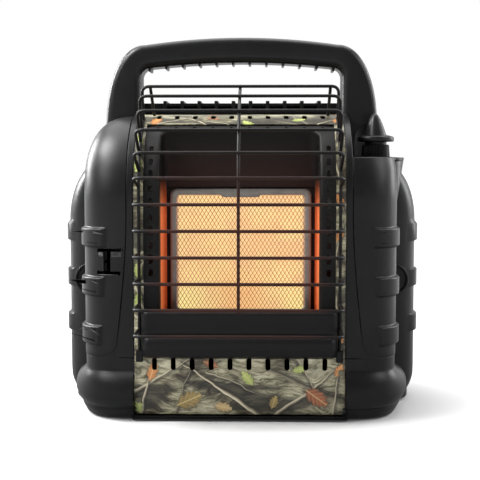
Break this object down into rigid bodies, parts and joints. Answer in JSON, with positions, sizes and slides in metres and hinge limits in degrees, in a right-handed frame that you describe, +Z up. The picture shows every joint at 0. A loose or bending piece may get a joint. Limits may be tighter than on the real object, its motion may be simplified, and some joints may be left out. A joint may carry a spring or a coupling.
{
  "type": "portable radiant gas heater",
  "caption": "Carry-handled radiant gas heater with a moulded body, camouflage front panel, wire guard, ceramic tile burner, push-and-turn knob and swing-out cylinder inlet.",
  "frame": {"origin": "on the floor, at the middle of the bounding box's underside", "axes": "+Z up, front with the burner faces -Y, knob at +X"},
  "size_m": [0.381, 0.27, 0.385],
  "materials": {
    "black_plastic": "satin moulded",
    "grille_plastic": "satin moulded",
    "printed_steel": "woodland print, semi-gloss",
    "hood_enamel": "heat-resistant enamel",
    "deflector_enamel": "satin heat-resistant enamel",
    "guard_wire": "baked enamel on wire",
    "stainless": "stamped",
    "zinc_steel": "zinc plated",
    "spring_steel": "drawn wire",
    "black_screws": "blackened",
    "glowing_ceramic": "perforated tile at red heat",
    "ceramic_fibre": "felted ceramic fibre",
    "aluminised_steel": "pressed",
    "shield_aluminium": "bright rolled",
    "brass": "machined",
    "thermocouple_metal": "heat tinted",
    "copper_lead": "drawn copper",
    "porcelain": "glazed",
    "die_cast_zinc": "as cast",
    "knob_plastic": "moulded",
    "igniter_plastic": "moulded",
    "red_plastic": "moulded",
    "red_insulation": "silicone rubber",
    "blue_insulation": "silicone rubber",
    "white_plastic": "moulded",
    "black_rubber": "moulded"
  },
  "bodies": {
    "heater": {"front_frame": "black_plastic", "left_front_cover": "black_plastic", "right_front_cover": "black_plastic", "rear_shell": "black_plastic", "base_tray": "black_plastic", "handle_front": "black_plastic", "handle_rear": "black_plastic", "top_grille": "grille_plastic", "left_side_lug": "black_plastic", "right_side_lug": "black_plastic", "cover_catch": "stainless", "front_panel": "printed_steel", "guard_clips": "stainless", "reflector_hood": "hood_enamel", "lower_deflector": "deflector_enamel", "wire_guard": "guard_wire", "burner_frame": "stainless", "burner_screen": "stainless", "burner_tile": "glowing_ceramic", "burner_gasket": "ceramic_fibre", "burner_plenum": "aluminised_steel", "mixing_tube": "aluminised_steel", "gas_orifice": "brass", "heat_shield": "shield_aluminium", "pilot_bracket": "zinc_steel", "pilot_burner": "brass", "thermocouple": "thermocouple_metal", "thermocouple_lead": "copper_lead", "spark_electrode": "thermocouple_metal", "electrode_insulator": "porcelain", "pilot_tube": "brass", "burner_gas_tube": "brass", "supply_tube": "brass", "valve_body": "die_cast_zinc", "valve_bracket": "zinc_steel", "knob_collar": "black_plastic", "knob_spring": "spring_steel", "piezo_igniter": "igniter_plastic", "igniter_wire": "red_insulation", "swivel_fitting": "brass", "tip_switch_case": "white_plastic", "tip_switch_leads": "blue_insulation", "rubber_feet": "black_rubber", "lug_screws": "zinc_steel", "base_screws": "zinc_steel", "handle_screws": "zinc_steel", "panel_screws": "black_screws"},
    "push": {"striker_plate": "zinc_steel", "piezo_plunger": "red_plastic"},
    "knob": {"valve_stem": "brass", "control_knob": "knob_plastic"},
    "regulator": {"regulator_body": "die_cast_zinc", "regulator_cap": "die_cast_zinc", "inlet_fitting": "brass", "inlet_seal": "black_rubber"},
    "tip_weight": {"tip_switch_weight": "zinc_steel"}
  },
  "joints": [
    {"name": "knob_push", "type": "slide", "parent": "heater", "child": "push", "axis": [0, 0, -1], "range_m": [0, 0.0025], "stiffness_N_per_m": 600, "springref_m": -0.002, "deforming": ["knob_spring"]},
    {"name": "knob_turn", "type": "hinge", "parent": "push", "child": "knob", "pos_m": [0.138, -0.03, 0.27], "axis": [0, 0, -1], "range_deg": [0, 270]},
    {"name": "regulator_swing", "type": "hinge", "parent": "heater", "child": "regulator", "pos_m": [-0.06, 0.099, 0.23], "axis": [0, 0, -1], "range_deg": [0, 83]},
    {"name": "tip_swing", "type": "hinge", "parent": "heater", "child": "tip_weight", "pos_m": [0.126, -0.036, 0.037], "axis": [0, 1, 0], "range_deg": [-18, 18]}
  ]
}
